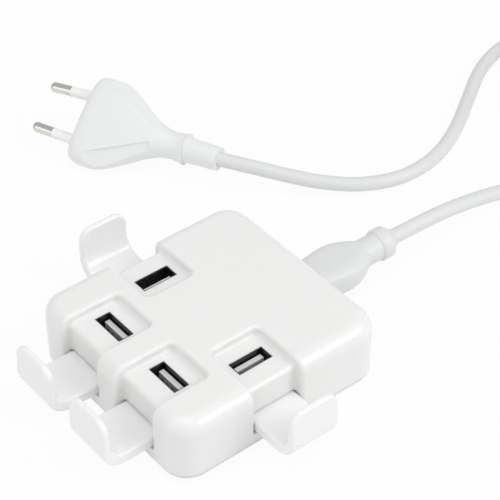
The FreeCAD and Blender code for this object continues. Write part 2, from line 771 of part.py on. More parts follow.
fuse_foot = box("fuse_foot", (fuse_start + " + 1", fuse_start + " + fuse_length - 1"),
                (fuse_y + " - fuse_radius / 2", fuse_y + " + fuse_radius / 2"),
                (power_board_top, power_board_top + " + fuse_radius"))
mains_fuse = fuse("mains_fuse", [fuse_tube, fuse_foot])
link_body = box("link_body", around(link_x, "link_width / 2"), both_ways("2 * link_pitch"),
                (power_board_top, power_board_top + " + link_width"))
link_bores = []
link_pin_bars = []
for number, place in enumerate(LINK_PINS, start=1):
    pin_y = place + " * link_pitch"
    link_pin_bars.append(box("link_pin_%d" % number, around(link_x, link_pin), around(pin_y, link_pin),
                             (power_board_top, usb_board_top + " + link_width / 2")))
    link_bores.append(box("link_bore_%d" % number, around(link_x, link_hole), around(pin_y, link_hole),
                          (power_board_top + " - 1", power_board_top + " + link_width + 1")))
link_header = cut("link_header", link_body, link_bores)
link_pins = group("link_pins", link_pin_bars)
chips = []
for number, y in enumerate(("chip_y", "-chip_y"), start=1):
    chips.append(box("charge_chip_%d" % number, around(BOSS_BACK + " - chip_inset", "chip_length / 2"),
                     around(y, "chip_width / 2"), (usb_board_top, usb_board_top + " + chip_height")))
charge_controllers = group("charge_controllers", chips)

INLET_PINS = (("left", "inlet_pin_spread / 2"), ("right", "-inlet_pin_spread / 2"))

# Mains inlet: a block through the back wall with a figure-eight well and two pins
inlet_face = "body_length / 2"
inlet_block = box("inlet_block", (inlet_face + " - inlet_depth", inlet_face), both_ways("inlet_width / 2"),
                  around("inlet_height", "inlet_tall / 2"))
inlet_foot = box("inlet_foot", (inlet_face + " - inlet_depth", power_back), both_ways("inlet_width / 2"),
                 (power_board_top, "inlet_height"))


def figure_eight(name, start, length, radius):
    """Two round bars side by side with the gap between them filled, along X."""
    waist = "nose_waist + %s - nose_radius" % radius
    return fuse(name, [
        rod(name + "_left", radius, (start, "nose_spread / 2", "inlet_height"), length, "x"),
        rod(name + "_right", radius, (start, "-nose_spread / 2", "inlet_height"), length, "x"),
        box(name + "_bridge", (start, "%s + %s" % (start, length)), both_ways("nose_spread / 2"),
            around("inlet_height", waist))])


inlet_pin_start = inlet_face + " - inlet_well_depth"
inlet_well = figure_eight("inlet_well", inlet_pin_start, "inlet_well_depth + 1", "nose_radius + nose_gap")
inlet_socket = cut("inlet_socket", fuse("inlet_body", [inlet_block, inlet_foot]), [inlet_well])
inlet_pins = group("inlet_pins", [
    rod("inlet_pin_" + side, "inlet_pin_radius", (inlet_pin_start, y, "inlet_height"),
        "inlet_pin_length", "x")
    for side, y in INLET_PINS])


def oval(x, width, tall, squareness, height=0.0):
    """A closed smooth outline square to X: an ellipse at squareness 2, boxier above it."""
    points = []
    for step in range(24):
        angle = 2 * math.pi * step / 24
        c, s = math.cos(angle), math.sin(angle)
        y = math.copysign(abs(c) ** (2 / squareness), c) * width / 2
        z = math.copysign(abs(s) ** (2 / squareness), s) * tall / 2
        points.append(Vector(x, y, height + z))
    curve = Part.BSplineCurve()
    curve.interpolate(points, PeriodicFlag=True)
    return Part.Wire(curve.toShape())


# Moulded connector: a flat grip that narrows to a round neck with a bead at its end
grip_start = size("body_length") / 2 + size("nose_gap")
grip_end = grip_start + size("grip_length")
shoulder_end = grip_end + size("shoulder_length")
grip_sections = [
    (grip_start, size("grip_width"), size("grip_tall"), 4.0),
    (grip_start + size("grip_length") * 0.5, size("grip_width"), size("grip_tall"), 4.0),
    (grip_end - size("grip_length") * 0.15, size("grip_width"), size("grip_tall"), 3.6),
    (grip_end + size("shoulder_length") * 0.35, size("grip_width") * 0.8, size("grip_tall"), 2.8),
    (shoulder_end, size("neck_radius") * 2, size("neck_radius") * 2, 2.0),
]
grip = doc.addObject("Part::Feature", "connector_grip")
grip.Shape = Part.makeLoft([oval(*section, size("inlet_height")) for section in grip_sections], True, False)
connector_axis = ("0", "inlet_height")
neck_start = "body_length / 2 + nose_gap + grip_length + shoulder_length"
neck = rod("connector_neck", "neck_radius", (neck_start, *connector_axis), "neck_length + bead_round", "x")
bead_start = neck_start + " + neck_length"
bead = rod("connector_bead_bar", "bead_radius", (bead_start, *connector_axis), "bead_length", "x")
bead = round_edges("connector_bead", bead, size("bead_round"), circular)
tail = doc.addObject("Part::Cone", "connector_tail")
tail.Placement = FreeCAD.Placement(Vector(), TURNS["x"])
bind(tail, "Radius1", "bead_radius - bead_round")
bind(tail, "Radius2", "tail_radius")
bind(tail, "Height", "tail_length")
bind(tail, "Placement.Base.x", bead_start + " + bead_length")
bind(tail, "Placement.Base.z", "inlet_height")
nose = figure_eight("connector_nose", "body_length / 2 - nose_length", "nose_length + nose_gap + 1",
                    "nose_radius")
bores = [rod("pin_bore_" + side, "inlet_pin_radius + pin_bore_gap",
             ("body_length / 2 - nose_length - 1", y, "inlet_height"), "nose_length + 1", "x")
         for side, y in INLET_PINS]
cord_connector = cut("cord_connector", fuse("connector_body", [nose, grip, neck, bead, tail]), bores)

# Plug, drawn with its pins along +X and its face at X 0, then laid down on its side
plug_lie = FreeCAD.Placement(
    Vector(size("plug_x"), size("plug_y"), size("plug_z")),
    FreeCAD.Rotation(size("plug_yaw"), size("plug_pitch"), size("plug_roll")))
plug_reach = size("plug_length")
plug_sections = [
    (0.0, size("plug_width") * 0.90, size("plug_thickness") * 0.80, 3.0),
    (-plug_reach * 0.04, size("plug_width") * 0.975, size("plug_thickness") * 0.95, 3.0),
    (-plug_reach * 0.12, size("plug_width"), size("plug_thickness"), 3.0),
    (-plug_reach * 0.26, size("plug_width") * 0.985, size("plug_thickness"), 3.0),
    (-plug_reach * 0.37, size("plug_width") * 0.88, size("plug_thickness"), 2.9),
    (-plug_reach * 0.54, size("plug_width") * 0.62, size("plug_thickness") * 0.98, 2.6),
    (-plug_reach * 0.72, size("plug_neck_radius") * 2.5, size("plug_neck_radius") * 2.3, 2.2),
    (-plug_reach * 0.86, size("plug_neck_radius") * 2, size("plug_neck_radius") * 2, 2.0),
    (-plug_reach, size("plug_collar_radius") * 2, size("plug_collar_radius") * 2, 2.0),
]
plug_shell = doc.addObject("Part::Feature", "plug_shell")
plug_shell.Shape = Part.makeLoft([oval(*section) for section in plug_sections], True, False)

# Finger grips: the four tapered edges of the plug's faces are bevelled back to a ledge
bevel_heading = math.atan2(size("bevel_end") - size("bevel_start"), size("bevel_narrow") - size("bevel_wide"))
bevel_turn = FreeCAD.Rotation(Vector(0, 0, 1), math.degrees(bevel_heading)).multiply(
    FreeCAD.Rotation(Vector(0, 1, 0), size("bevel_tilt")))
bevel_block = doc.addObject("Part::Box", "bevel_block")
bind(bevel_block, "Length", "plug_width")
bind(bevel_block, "Width", "bevel_end")
bind(bevel_block, "Height", "plug_thickness")
bevel_ledge_end = Vector(-size("bevel_end"), size("bevel_narrow"),
                         size("plug_thickness") / 2 - size("bevel_depth"))
bevel_block.Placement = FreeCAD.Placement(
    bevel_ledge_end - bevel_turn.multVec(Vector(0, size("bevel_end"), 0)), bevel_turn)


def mirrored(name, item, normal):
    """The same piece on the other side of a plane through the plug's axis."""
    other = doc.addObject("Part::Mirroring", name)
    other.Source = item
    other.Normal = normal
    return other


bevels = [bevel_block, mirrored("bevel_right", bevel_block, Vector(0, 1, 0))]
bevels += [mirrored("bevel_under_%d" % number, item, Vector(0, 0, 1))
           for number, item in enumerate(list(bevels), start=1)]
plug_grip = cut("plug_grip", plug_shell, bevels)
relief = doc.addObject("Part::Cone", "plug_relief")
relief.Placement = FreeCAD.Placement(Vector(), FreeCAD.Rotation(Vector(0, 1, 0), -90))
bind(relief, "Radius1", "relief_radius")
bind(relief, "Radius2", "relief_tip_radius")
bind(relief, "Height", "relief_length + 1")
bind(relief, "Placement.Base.x", "-plug_length + 1")
pin_turn = math.degrees(math.atan2(size("pin_toe_in") / 2, size("pin_length")))


def plug_bar(name, side, radius, start, length):
    """A round bar along one pin's axis, from a distance in front of the plug's face."""
    toe_in = FreeCAD.Rotation(Vector(0, 0, 1), -side * pin_turn)
    bar = doc.addObject("Part::Cylinder", name)
    bar.Placement = FreeCAD.Placement(
        Vector(0, side * size("pin_spread") / 2, 0) + toe_in.multVec(Vector(start, 0, 0)),
        toe_in.multiply(TURNS["x"]))
    bind(bar, "Radius", radius)
    bind(bar, "Height", length)
    return bar


SIDES = (("left", 1), ("right", -1))
pin_cores = [plug_bar("pin_core_" + name, side, "pin_radius - pin_waist", -size("pin_root"),
                      "pin_root + pin_sleeve_length + 1")
             for name, side in SIDES]
pin_ends = []


def pin_tip(edge):
    return circular(edge) and middle(edge).x > size("pin_length") - 1


for name, side in SIDES:
    pin_end = plug_bar("pin_end_" + name, side, "pin_radius", size("pin_sleeve_length"),
                       "pin_length - pin_sleeve_length")
    pin_ends.append(round_edges("pin_tip_" + name, pin_end, size("pin_radius") - size("pin_waist"), pin_tip))
sleeves = []
for (name, side), core in zip(SIDES, pin_cores):
    sleeve = plug_bar("pin_sleeve_bar_" + name, side, "pin_radius", size("pin_face_gap"),
                      "pin_sleeve_length - pin_face_gap")
    sleeves.append(cut("pin_sleeve_" + name, sleeve, [core]))


def lay_down(item):
    """Carry a piece of the plug to where the plug lies."""
    item.Placement = plug_lie
    return item


plug_body = lay_down(cut("plug_body", fuse("plug_mould", [plug_grip, relief]), pin_cores))
pins = [fuse("plug_pin_" + name, [core, pin_end])
        for (name, _), core, pin_end in zip(SIDES, pin_cores, pin_ends)]
plug_pins = lay_down(group("plug_pins", pins))
pin_sleeves = lay_down(group("pin_sleeves", sleeves))

# Mains cord: the two stretches that lie in view and the neat coil between them
tail_end = Vector(grip_start + size("grip_length") + size("shoulder_length") + size("neck_length")
                  + size("bead_length") + size("tail_length"), 0, size("inlet_height"))
relief_end = plug_lie.multVec(Vector(-size("plug_length") - size("relief_length"), 0, 0))
lower_turn = size("tie_thickness") + size("tie_gap") + size("cord_radius")
upper_turn = lower_turn + 2 * size("cord_radius")
coil_low_y = size("coil_y") - size("coil_outer_turn")
coil_right_x = size("coil_x") + (size("coil_inner_turn") + size("coil_outer_turn")) / 2
lying = size("cord_radius")
NEAR_ROUTE = [
    tail_end,
    Vector(100, 0, 11.4),
    Vector(118, 0, 8.9),
    Vector(138, -1.5, 5.4),
    Vector(158, -9.5, lower_turn),
    Vector(178, -20.5, lower_turn),
    Vector(197, coil_low_y, lower_turn),
    Vector(212, coil_low_y, lower_turn),
]
FAR_ROUTE = [
    Vector(coil_right_x, 3.0, upper_turn),
    Vector(coil_right_x, 14.0, upper_turn),
    Vector(coil_right_x, 26.0, upper_turn - 2.4),
    Vector(coil_right_x, 42.2, lying + 0.7),
    Vector(coil_right_x - 7.1, 56.5, lying),
    Vector(coil_right_x - 19.9, 66.1, lying),
    Vector(coil_right_x - 35.6, 69.0, lying),
    Vector(186.8, 63.0, lying),
    Vector(169.0, 51.4, lying),
    Vector(151.0, 39.4, lying),
    Vector(133.0, 31.4, lying),
    Vector(115.5, 30.0, lying),
    Vector(100.0, 35.6, lying + 0.5),
    Vector(87.0, 44.8, 5.2),
    Vector(77.0, 55.0, 7.8),
    Vector(68.6, 63.6, 10.4),
    relief_end,
]


def lead_path(points):
    """Straight runs joined by arcs that are tangent to both neighbours."""
    edges = []
    last = points[0]
    for before, corner, after in zip(points, points[1:], points[2:]):
        back = before - corner
        ahead = after - corner
        trim = 0.45 * min(back.Length, ahead.Length)
        bisector = back.normalize() + ahead.normalize()
        start = corner + back * trim
        finish = corner + ahead * trim
        half = back.getAngle(ahead) / 2
        radius = trim * math.tan(half)
        peak = corner + bisector.normalize() * (radius / math.sin(half) - radius)
        edges.append(Part.LineSegment(last, start).toShape())
        edges.append(Part.Arc(start, peak, finish).toShape())
        radii.append(radius)
        last = finish
    edges.append(Part.LineSegment(last, points[-1]).toShape())
    return Part.Wire(edges)


def lead(name, points):
    """A round tube along the path."""
    path = lead_path(points)
    heading = points[1] - points[0]
    ring = Part.Wire(Part.makeCircle(size("cord_radius"), points[0], heading))
    tube = doc.addObject("Part::Feature", name)
    tube.Shape = path.makePipeShell([ring], True, True)
    share = tube.Shape.Volume / (math.pi * size("cord_radius") ** 2 * path.Length)
    print("%s length %.1f mm, volume against section times length %.4f" % (name, path.Length, share))
    return tube


radii = []
cord_near = lead("cord_near", NEAR_ROUTE)
cord_far = lead("cord_far", FAR_ROUTE)
print("smallest cord radius %.1f mm" % min(radii))
coil_foot = "tie_thickness + tie_gap"
coil_place = ("coil_x", "coil_y", coil_foot)
coil_outer = rod("coil_outer", "coil_outer_turn + cord_radius", coil_place, "4 * cord_radius")
coil_inner = rod("coil_inner", "coil_inner_turn - cord_radius", coil_place, "4 * cord_radius")
coil_ring = cut("coil_ring", coil_outer, [coil_inner])
coil_round = round_edges("coil_rounded", coil_ring, size("coil_round"), circular)
cord_coil = cut("cord_coil", coil_round, [cord_near, cord_far])
tie_sides = ("coil_x - tie_width / 2", "coil_x + tie_width / 2")
tie_hole = ("coil_y + coil_inner_turn - cord_radius - tie_gap - tie_sag",
            "coil_y + coil_outer_turn + cord_radius + tie_gap")
tie_block = box("tie_block", tie_sides, (tie_hole[0] + " - tie_thickness", tie_hole[1] + " + tie_thickness"),
                ("0", "4 * cord_radius + 2 * tie_gap + 2 * tie_thickness"))
tie_room = box("tie_room", (tie_sides[0] + " - 1", tie_sides[1] + " + 1"), tie_hole,
               ("tie_thickness", "4 * cord_radius + 2 * tie_gap + tie_thickness"))
coil_tie = cut("coil_tie", tie_block, [tie_room])

NODES = [
    top_housing, base_cover, grip_pad, base_screws, *holders, *usb_shells, *usb_tongues, *usb_contacts,
    usb_board, board_screws, charge_controllers, power_board, transformer_core, transformer_winding,
    bulk_capacitor, output_capacitors, suppression_capacitor, bridge_rectifier, mains_fuse, link_header,
    link_pins, inlet_socket, inlet_pins, cord_connector, cord_near, cord_coil, coil_tie, cord_far,
    plug_body, plug_pins, pin_sleeves,
]

doc.recompute()
for item in doc.Objects:
    if "Invalid" in item.State or "Error" in item.State:
        raise RuntimeError("%s did not compute" % item.Label)
os.makedirs("parts", exist_ok=True)
for node in NODES:
    if node.Shape.isNull() or not node.Shape.isValid() or not node.Shape.Solids:
        raise RuntimeError("%s has no sound solid" % node.Label)
    node.Shape.exportStep("parts/%s.step" % node.Label)
print("%d nodes" % len(NODES))
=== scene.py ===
# %% [markdown]
# # A white USB charging box, its mains lead and its flat plug
# The CAD frame already holds every solid piece in its true place. This lesson dresses it: camera and
# cord first, because they decide what the picture holds, then the finishes, then the details that
# repeat on the underside and on the coil's strap, and last the floor and the light.

# %% Load the frame
import json
import math

import bmesh
import bpy
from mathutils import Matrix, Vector


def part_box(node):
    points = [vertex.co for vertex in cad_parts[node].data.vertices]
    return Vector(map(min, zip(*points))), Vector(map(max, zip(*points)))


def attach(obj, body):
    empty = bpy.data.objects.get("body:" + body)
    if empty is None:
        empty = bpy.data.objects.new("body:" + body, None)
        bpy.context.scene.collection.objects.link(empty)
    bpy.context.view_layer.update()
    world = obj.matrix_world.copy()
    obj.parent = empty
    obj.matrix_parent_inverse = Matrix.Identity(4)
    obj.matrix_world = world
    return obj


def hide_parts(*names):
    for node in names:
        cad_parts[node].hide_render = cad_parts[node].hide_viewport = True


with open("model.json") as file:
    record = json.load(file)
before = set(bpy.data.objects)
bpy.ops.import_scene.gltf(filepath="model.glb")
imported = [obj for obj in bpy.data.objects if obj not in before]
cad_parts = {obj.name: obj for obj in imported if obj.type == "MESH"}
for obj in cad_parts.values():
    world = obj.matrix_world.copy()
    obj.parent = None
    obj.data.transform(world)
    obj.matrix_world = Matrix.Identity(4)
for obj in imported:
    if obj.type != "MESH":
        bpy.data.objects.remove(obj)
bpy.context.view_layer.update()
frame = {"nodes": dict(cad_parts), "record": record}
nodes = frame["nodes"]
MM = 0.001

# %% [markdown]
# ## Camera
# The box was photographed from above with a long lens, so its edges stay nearly parallel. The lens and
# the place below were worked out from the known sizes of the plug's pins and of the USB openings. A
# shorter lens closer by would make the near phone holders look too large beside the far one.

# %% Camera
CAMERA_AT = Vector((-250.89, -332.49, 410.36)) * MM
CAMERA_AIM = Vector((38.10, 25.64, 12.0)) * MM
camera_data = bpy.data.cameras.new("camera")
camera_data.sensor_width = 36.0
camera_data.lens = 127.0
camera_data.clip_start = 0.01
camera = bpy.data.objects.new("camera", camera_data)
camera.location = CAMERA_AT
camera.rotation_euler = (CAMERA_AIM - CAMERA_AT).to_track_quat("-Z", "Y").to_euler()
bpy.context.scene.collection.objects.link(camera)
bpy.context.scene.camera = camera
print("camera", round((CAMERA_AIM - CAMERA_AT).length, 3), "m from the box, lens", camera_data.lens, "mm")

# %% [markdown]
# ## Mains cord
# A round two-core lead is stiff enough to lie in wide curves. It leaves the connector, drops to the
# floor and goes out of the picture; it comes back from the right and ends in the plug. The length that
# the picture doesn't show is wound in a tied coil just outside it. A NURBS spline along the route's
# points gives one smooth line, which a round bevel turns into the jacket. Joined arcs would do for bent
# wire, but an extruded PVC jacket has no corners, and a spline of low order stays close to its points.

# %% Cord route
# Every length is in millimetres. A cord that lies on the floor has its middle one radius above it.
CORD_RADIUS = 2.7
COIL_MIDDLE = (209.2, 9.4)
COIL_TURNS = (37.8, 32.4, 27.0)
COIL_LOW = 3.95
COIL_HIGH = 9.35
NEAR_ROUTE = [
    (80.6, 0, 11.8), (100, 0, 11.4), (118, 0, 8.9), (138, -1.5, 5.4),
    (158, -9.5, COIL_LOW), (178, -20.5, COIL_LOW), (197, -28.4, COIL_LOW),
]
FAR_ROUTE = [
    (241.6, 14.0, COIL_HIGH), (241.6, 26.0, 6.95), (241.6, 42.2, 3.4), (234.5, 56.5, CORD_RADIUS),
    (221.7, 66.1, CORD_RADIUS), (206.0, 69.0, CORD_RADIUS), (186.8, 63.0, CORD_RADIUS),
    (169.0, 51.4, CORD_RADIUS), (151.0, 39.4, CORD_RADIUS), (133.0, 31.4, CORD_RADIUS),
    (115.5, 30.0, CORD_RADIUS), (100.0, 35.6, 3.2), (87.0, 44.8, 5.2), (77.0, 55.0, 7.8),
    # It comes in aslant, so its end lies a millimetre inside the plug's collar and leaves no gap
    (68.6, 63.6, 10.4), (60.42, 72.76, 12.41),
]
# The winding: angle in degrees, radius and height. Between two rows the cord eases from one to the next.
outer, middle, inner = COIL_TURNS
WINDING = [
    (-90, outer, COIL_LOW), (165, outer, COIL_LOW), (240, middle, COIL_LOW), (525, middle, COIL_LOW),
    (600, inner, COIL_LOW), (840, inner, COIL_LOW), (885, inner, COIL_HIGH), (1085, inner, COIL_HIGH),
    (1160, middle, COIL_HIGH), (1440, middle, COIL_HIGH),
]
COIL_STEP = 15


def coil_point(angle):
    """Where the winding is at one angle, in millimetres."""
    for (a0, r0, z0), (a1, r1, z1) in zip(WINDING, WINDING[1:]):
        if angle <= a1:
            share = (angle - a0) / (a1 - a0)
            share = share * share * (3 - 2 * share)
            radius = r0 + (r1 - r0) * share
            turn = math.radians(angle)
            return (COIL_MIDDLE[0] + radius * math.cos(turn), COIL_MIDDLE[1] + radius * math.sin(turn),
                    z0 + (z1 - z0) * share)


coil_route = [coil_point(angle) for angle in range(WINDING[0][0], WINDING[-1][0] + 1, COIL_STEP)]
route = NEAR_ROUTE + coil_route + FAR_ROUTE
cord_curve = bpy.data.curves.new("mains_cord", "CURVE")
cord_curve.dimensions = "3D"
# The bevel is one metre and each point's radius scales it down, because a curve's box counts that radius
cord_curve.bevel_depth = 1.0
cord_curve.bevel_resolution = 6
cord_curve.use_fill_caps = True
cord_curve.resolution_u = 6
spline = cord_curve.splines.new("NURBS")
spline.points.add(len(route) - 1)
for point, place in zip(spline.points, route):
    point.co = (*(Vector(place) * MM), 1.0)
    point.radius = CORD_RADIUS * MM
spline.order_u = 3
spline.use_endpoint_u = True
mains_cord = bpy.data.objects.new("mains_cord", cord_curve)
bpy.context.scene.collection.objects.link(mains_cord)
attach(mains_cord, "charger")
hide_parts("cord_near", "cord_coil", "cord_far")
print("cord along", len(route), "points")

# %% [markdown]
# ## Finishes
# Nearly everything that shows is white injection-moulded plastic, so the finishes differ in gloss and
# in a trace of tint: glossy ABS on the box, polycarbonate on the holders, satin PVC on the lead. One
# function turns a written sRGB colour to the linear one that the shader wants, and one adds a node with
# its settings and links. Everything is procedural and in the piece's own coordinates, so a holder keeps
# its skin when it slides and no image file has to travel with the part.

# %% Colour and node helpers
def linear(hex_colour):
    """A written sRGB colour, such as F4F4F2, as linear RGBA."""
    channels = [int(hex_colour[i:i + 2], 16) / 255 for i in (0, 2, 4)]
    return (*[c / 12.92 if c <= 0.04045 else ((c + 0.055) / 1.055) ** 2.4 for c in channels], 1.0)


def add(tree, kind, inputs=None, links=None, **settings):
    """One node with its attributes, its input values and its incoming links."""
    node = tree.nodes.new(kind)
    for name, value in settings.items():
        setattr(node, name, value)
    for name, value in (inputs or {}).items():
        node.inputs[name].default_value = value
    for name, socket in (links or {}).items():
        tree.links.new(socket, node.inputs[name])
    return node


def new_finish(name):
    """A new material, with its tree, its surface shader and the piece's own coordinates."""
    material = bpy.data.materials.new(name)
    material.use_nodes = True
    tree = material.node_tree
    place = add(tree, "ShaderNodeTexCoord").outputs["Object"]
    return material, tree, tree.nodes["Principled BSDF"], place


# Plastic cools unevenly in its mould over about this length. It gives the eye a slow drift in tone and
# gloss, which keeps a large white face from looking like flat paint.
FLOW_MM = 18.0
FLOW_GLOSS = (0.88, 1.12)
SKIN_DEPTH_MM = 0.1
# Rollers and dies leave streaks: duller on their ridges, and too shallow to feel
STREAK_GLOSS = (0.7, 1.4)
STREAK_DEPTH_MM = 0.05
STREAK_BUMP = 0.05


def moulded(name, colour, roughness, mottle, grain_mm=0.6, bump=0.02, **shader):
    """Moulded plastic or rubber: a slow drift in tone and gloss, and the mould's fine skin as relief.

    The skin, grain_mm across, breaks the edge of a highlight into the soft rim that real plastic has.
    """
    material, tree, surface, place = new_finish(name)
    for socket, value in shader.items():
        surface.inputs[socket.replace("_", " ")].default_value = value
    flow = add(tree, "ShaderNodeTexNoise", {"Scale": 1000 / FLOW_MM, "Detail": 3.0}, {"Vector": place})
    skin = add(tree, "ShaderNodeTexNoise", {"Scale": 1000 / grain_mm, "Detail": 2.0}, {"Vector": place})
    tone = add(tree, "ShaderNodeMix", links={"Factor": flow.outputs["Fac"]}, data_type="RGBA")
    base = linear(colour)
    tone.inputs["A"].default_value = (*[c * (1 - mottle) for c in base[:3]], 1)
    tone.inputs["B"].default_value = (*[min(c * (1 + mottle), 1) for c in base[:3]], 1)
    least, most = FLOW_GLOSS
    gloss = add(tree, "ShaderNodeMapRange", {"To Min": roughness * least, "To Max": roughness * most},
                {"Value": flow.outputs["Fac"]})
    relief = add(tree, "ShaderNodeBump", {"Strength": bump, "Distance": SKIN_DEPTH_MM * MM},
                 {"Height": skin.outputs["Fac"]})
    tree.links.new(tone.outputs["Result"], surface.inputs["Base Color"])
    tree.links.new(gloss.outputs["Result"], surface.inputs["Roughness"])
    tree.links.new(relief.outputs["Normal"], surface.inputs["Normal"])
    return material


def metal(name, colour, roughness, grain_mm, stretch):
    """Rolled or drawn metal: fine streaks along one direction, which smear its highlights across it."""
    material, tree, surface, place = new_finish(name)
    surface.inputs["Metallic"].default_value = 1.0
    surface.inputs["Base Color"].default_value = linear(colour)
    turned = add(tree, "ShaderNodeMapping", {"Scale": stretch}, {"Vector": place})
    streak = add(tree, "ShaderNodeTexNoise", {"Scale": 1000 / grain_mm, "Detail": 2.0},
                 {"Vector": turned.outputs["Vector"]})
    least, most = STREAK_GLOSS
    gloss = add(tree, "ShaderNodeMapRange", {"To Min": roughness * least, "To Max": roughness * most},
                {"Value": streak.outputs["Fac"]})
    relief = add(tree, "ShaderNodeBump", {"Strength": STREAK_BUMP, "Distance": STREAK_DEPTH_MM * MM},
                 {"Height": streak.outputs["Fac"]})
    tree.links.new(gloss.outputs["Result"], surface.inputs["Roughness"])
    tree.links.new(relief.outputs["Normal"], surface.inputs["Normal"])
    return material


print("finish helpers ready, plastic drifts over", FLOW_MM, "mm")

# %% [markdown]
# ## White plastics
# White pigment scatters light, so it enters the plastic and comes out a millimetre or two away. That
# lifts the inside of the port shelves and the foot of the holders, where a hard opaque white would turn
# grey. A plain brighter colour would do the same in this light, but would wash out the edges.

# %% White plastics
GLOW = {"Subsurface_Weight": 0.35, "Subsurface_Radius": (1.0, 1.0, 0.95), "Subsurface_Scale": 0.002}
finishes = {
    # A polished mould: lamps show as soft-edged patches on the rounded edges
    "housing": moulded("glossy white ABS", "F0F0EF", 0.26, 0.006, IOR=1.52, **GLOW),
    # A spark-eroded mould: an even matt skin that hides fingerprints underneath
    "base": moulded("satin white ABS", "ECECEB", 0.45, 0.01, grain_mm=0.5, bump=0.08, IOR=1.52, **GLOW),
    # Clearer than ABS, so the lips catch a tighter highlight than the box does
    # Its colour is a little whiter than the box's: painted light that lifts the shade on the plates
    # between lip and box
    "holder": moulded("white polycarbonate, whitened as painted light", "F4F5F4", 0.24, 0.006, IOR=1.58, **GLOW),
    # Plasticised and extruded: a wide dull sheen along the top of the cord
    "cord_jacket": moulded("satin white PVC", "E1E2E2", 0.42, 0.01, grain_mm=0.4, bump=0.05, IOR=1.53),
    "plug": moulded("moulded white PVC", "EEF0F0", 0.4, 0.01, grain_mm=0.4, bump=0.05, IOR=1.53),
    "sleeve": moulded("white nylon pin sleeve", "F9F9F8", 0.38, 0.02, IOR=1.53),
    # Glass fibre near the skin makes it greyer and duller than the box around it
    "tongue": moulded("white glass-filled nylon", "E2E2E0", 0.42, 0.01, IOR=1.53),
}
print(len(finishes), "white plastics")

# %% [markdown]
# ## Dark and inner finishes
# The USB shells are sheet steel with painted shade in their colour: darkened so that deep in their slots
# they read as black. The board and what it carries show only through the ports or when a learner takes
# the box apart, so they get the usual colours of such parts.

# %% Dark and inner finishes
finishes |= {
    # Soft and never shiny: it drinks light, so the pad reads as one dark square
    "grip_rubber": moulded("grey silicone rubber", "6F7072", 0.75, 0.05, grain_mm=0.3, bump=0.3,
                           IOR=1.41),
    "black_plastic": moulded("black thermoset", "1C1C1D", 0.5, 0.05, IOR=1.55),
    # A lacquer over copper: green with a wet gleam
    "board": moulded("green solder mask", "1F5B34", 0.35, 0.06, IOR=1.5),
    # Pressed powder: coarse and dull
    "ferrite": moulded("sintered ferrite", "3A3A3C", 0.7, 0.06, grain_mm=0.3, bump=0.3),
    "winding_tape": moulded("yellow polyester tape", "C9A32C", 0.3, 0.03),
    "can_sleeve": moulded("dark blue shrink sleeve", "23283C", 0.35, 0.03),
    "film_case": moulded("yellow capacitor case", "C79F28", 0.35, 0.03),
    "fuse_case": moulded("brown fuse sleeve", "8B5A3C", 0.5, 0.04),
    # Woven loops, drawn coarser than they are so that they show: a velvet-like dull black
    "tie": moulded("black hook-and-loop strap", "202021", 0.85, 0.1, grain_mm=0.35, bump=0.8),
    "steel": metal("zinc-plated steel", "B9BBBE", 0.32, 0.5, (1, 1, 0.2)),
    # Painted shade: the steel's colour is darkened so that the shells read black deep in the slots
    "shell_steel": metal("sheet steel darkened as painted slot shade", "4E5052", 0.4, 0.3, (1, 1, 0.1)),
    "contact_gold": metal("gold-flashed bronze", "A59A7E", 0.3, 0.2, (1, 1, 0.1)),
    "tinned_pin": metal("tinned brass", "C6C6C4", 0.28, 0.3, (0.1, 1, 1)),
    # Drawn along the pin: a bright line down each bare tip
    "plug_metal": metal("nickel-plated brass", "D9D7D3", 0.16, 0.3, (0.3, 0.3, 1)),
}
mains_cord.data.materials.append(finishes["cord_jacket"])
for part in frame["record"]["subparts"]:
    solid = nodes[part["node"]]
    solid.data.materials.clear()
    solid.data.materials.append(finishes[part["material_slot"]])

# %% [markdown]
# ## Details that repeat
# Geometry Nodes suit what comes in rows or on a pattern of holes: one tree makes the item once and sets
# it on points, so a count or a spacing stays a single number. A loop in the script could place copies
# too, but then the rule is spread over the code. Each tree is run once and its result kept as a plain
# mesh, because the finished part carries no modifiers.

# %% Tree helpers
# Corners of a mesh that are closer than this, in metres, count as one
WELD = 1e-6


def new_tree(name, sizes):
    """A tree that takes a mesh and these named numbers and gives a mesh, with its two ends."""
    tree = bpy.data.node_groups.new(name, "GeometryNodeTree")
    tree.interface.new_socket("Geometry", in_out="INPUT", socket_type="NodeSocketGeometry")
    for label, value in sizes.items():
        kind = "NodeSocketInt" if isinstance(value, int) else "NodeSocketFloat"
        tree.interface.new_socket(label, in_out="INPUT", socket_type=kind)
    tree.interface.new_socket("Geometry", in_out="OUTPUT", socket_type="NodeSocketGeometry")
    return tree, tree.nodes.new("NodeGroupInput").outputs, tree.nodes.new("NodeGroupOutput").inputs


def settle(tree, made, finish, leave):
    """The end of each tree: instances become real faces and take their finish."""
    real = add(tree, "GeometryNodeRealizeInstances", links={"Geometry": made})
    dressed = add(tree, "GeometryNodeSetMaterial", {"Material": finishes[finish]},
                  {"Geometry": real.outputs["Geometry"]})
    tree.links.new(dressed.outputs["Geometry"], leave["Geometry"])


def run_tree(name, mesh, tree, sizes):
    """A new piece whose plain mesh is what the tree makes from this mesh with these numbers."""
    piece = bpy.data.objects.new(name, mesh)
    bpy.context.scene.collection.objects.link(piece)
    modifier = piece.modifiers.new(tree.name, "NODES")
    modifier.node_group = tree
    for item in tree.interface.items_tree:
        if item.in_out == "INPUT" and item.name in sizes:
            modifier[item.identifier] = sizes[item.name]
    shown = piece.evaluated_get(bpy.context.evaluated_depsgraph_get())
    made = bpy.data.meshes.new_from_object(shown)
    piece.modifiers.remove(modifier)
    piece.data = made
    return piece


def stands_for(piece, node):
    """Lets a finished piece ride the box in the place of its CAD node."""
    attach(piece, "charger")
    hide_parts(node)
    print(piece.name, "stands for", node, "with", len(piece.data.polygons), "faces")


print("tree helpers ready, corners weld within", WELD, "m")

